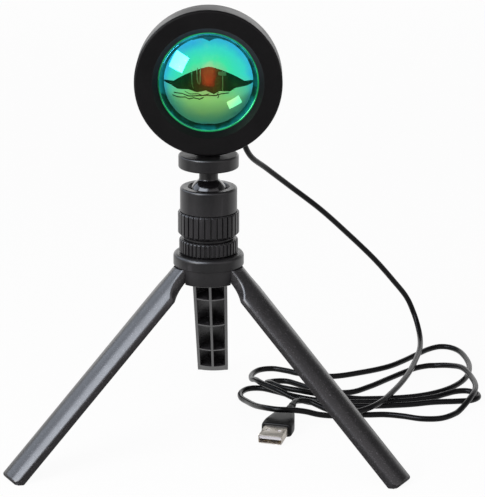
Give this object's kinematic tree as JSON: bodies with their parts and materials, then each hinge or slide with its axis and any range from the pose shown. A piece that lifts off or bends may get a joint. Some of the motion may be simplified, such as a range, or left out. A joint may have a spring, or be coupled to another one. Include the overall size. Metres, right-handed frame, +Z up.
{
  "type": "sunset projection lamp",
  "caption": "Black sunset projection lamp with a round head and domed green dichroic lens, on a ball head and folding mini tripod, with a thin cord in loose loops and a USB plug.",
  "frame": {"origin": "on the floor, at the middle of the lamp's plan box without its cord", "axes": "+Z up along the tripod axis, the lens looks along -Y, +X to the right seen from the front"},
  "size_m": [0.2384, 0.2113, 0.2181],
  "materials": {
    "black_anodised": "satin",
    "black_plastic": "satin",
    "leg_plastic": "satin",
    "gloss_black": "gloss",
    "coated_glass": "gloss",
    "rubber": "satin",
    "zinc_steel": "satin",
    "brass": "satin",
    "bare_aluminium": "satin",
    "white_board": "satin",
    "green_board": "satin",
    "source": "gloss",
    "wire_red": "satin",
    "seat_plastic": "satin",
    "tongue_plastic": "satin",
    "plug_steel": "satin"
  },
  "bodies": {
    "base": {"hub_cap": "black_plastic", "hub_body": "black_plastic", "hub_screws": "zinc_steel", "leg_pins": "zinc_steel", "tripod_stud": "zinc_steel", "cord_drop": "rubber", "cord_loops": "rubber", "plug_relief": "rubber", "plug_body": "rubber", "plug_shell": "plug_steel", "plug_tongue": "tongue_plastic", "plug_contacts": "brass"},
    "leg_left": {"leg_left": "leg_plastic"},
    "leg_right": {"leg_right": "leg_plastic"},
    "leg_rear": {"leg_rear": "leg_plastic"},
    "knob": {"screw_knob": "black_plastic"},
    "ball_head": {"ball_socket": "black_plastic", "ball_seat": "seat_plastic", "thread_bush": "brass"},
    "ring": {"lock_ring": "black_plastic"},
    "lamp": {"ball_stud": "gloss_black", "platform": "black_anodised", "platform_screw": "zinc_steel", "front_bezel": "black_anodised", "tripod_insert": "brass", "lens": "coated_glass", "lens_gasket": "rubber", "lens_retainer": "black_plastic", "light_tube": "black_plastic", "led_chip": "source", "led_board": "white_board", "heat_sink": "bare_aluminium", "board_screws": "zinc_steel", "driver_board": "green_board", "lead_wires": "wire_red", "rear_barrel": "black_anodised", "rear_cap": "black_anodised", "cap_screws": "zinc_steel", "cord_gland": "rubber"}
  },
  "joints": [
    {"name": "fold_left", "type": "hinge", "parent": "base", "child": "leg_left", "pos_m": [-0.00909, -0.03011, 0.09328], "axis": [0.5, -0.866, 0], "range_deg": [0, 45]},
    {"name": "fold_right", "type": "hinge", "parent": "base", "child": "leg_right", "pos_m": [0.00909, -0.03011, 0.09328], "axis": [0.5, 0.866, 0], "range_deg": [0, 45]},
    {"name": "fold_rear", "type": "hinge", "parent": "base", "child": "leg_rear", "pos_m": [0, -0.01436, 0.09328], "axis": [-1, 0, 0], "range_deg": [0, 45]},
    {"name": "knob_turn", "type": "hinge", "parent": "base", "child": "knob", "pos_m": [0, -0.02486, 0.09858], "axis": [0, 0, 1], "range_deg": [-180, 0]},
    {"name": "head_pan", "type": "hinge", "parent": "base", "child": "ball_head", "pos_m": [0, -0.02486, 0.10558], "axis": [0, 0, 1], "range_deg": [-90, 90], "deforming": ["cord_drop"]},
    {"name": "ring_turn", "type": "hinge", "parent": "ball_head", "child": "ring", "pos_m": [0, -0.02486, 0.10678], "axis": [0, 0, 1], "range_deg": [-180, 0]},
    {"name": "head_tilt", "type": "hinge", "parent": "ball_head", "child": "lamp", "pos_m": [0, -0.02486, 0.12618], "axis": [1, 0, 0], "range_deg": [-65, 35], "deforming": ["cord_drop"]}
  ]
}
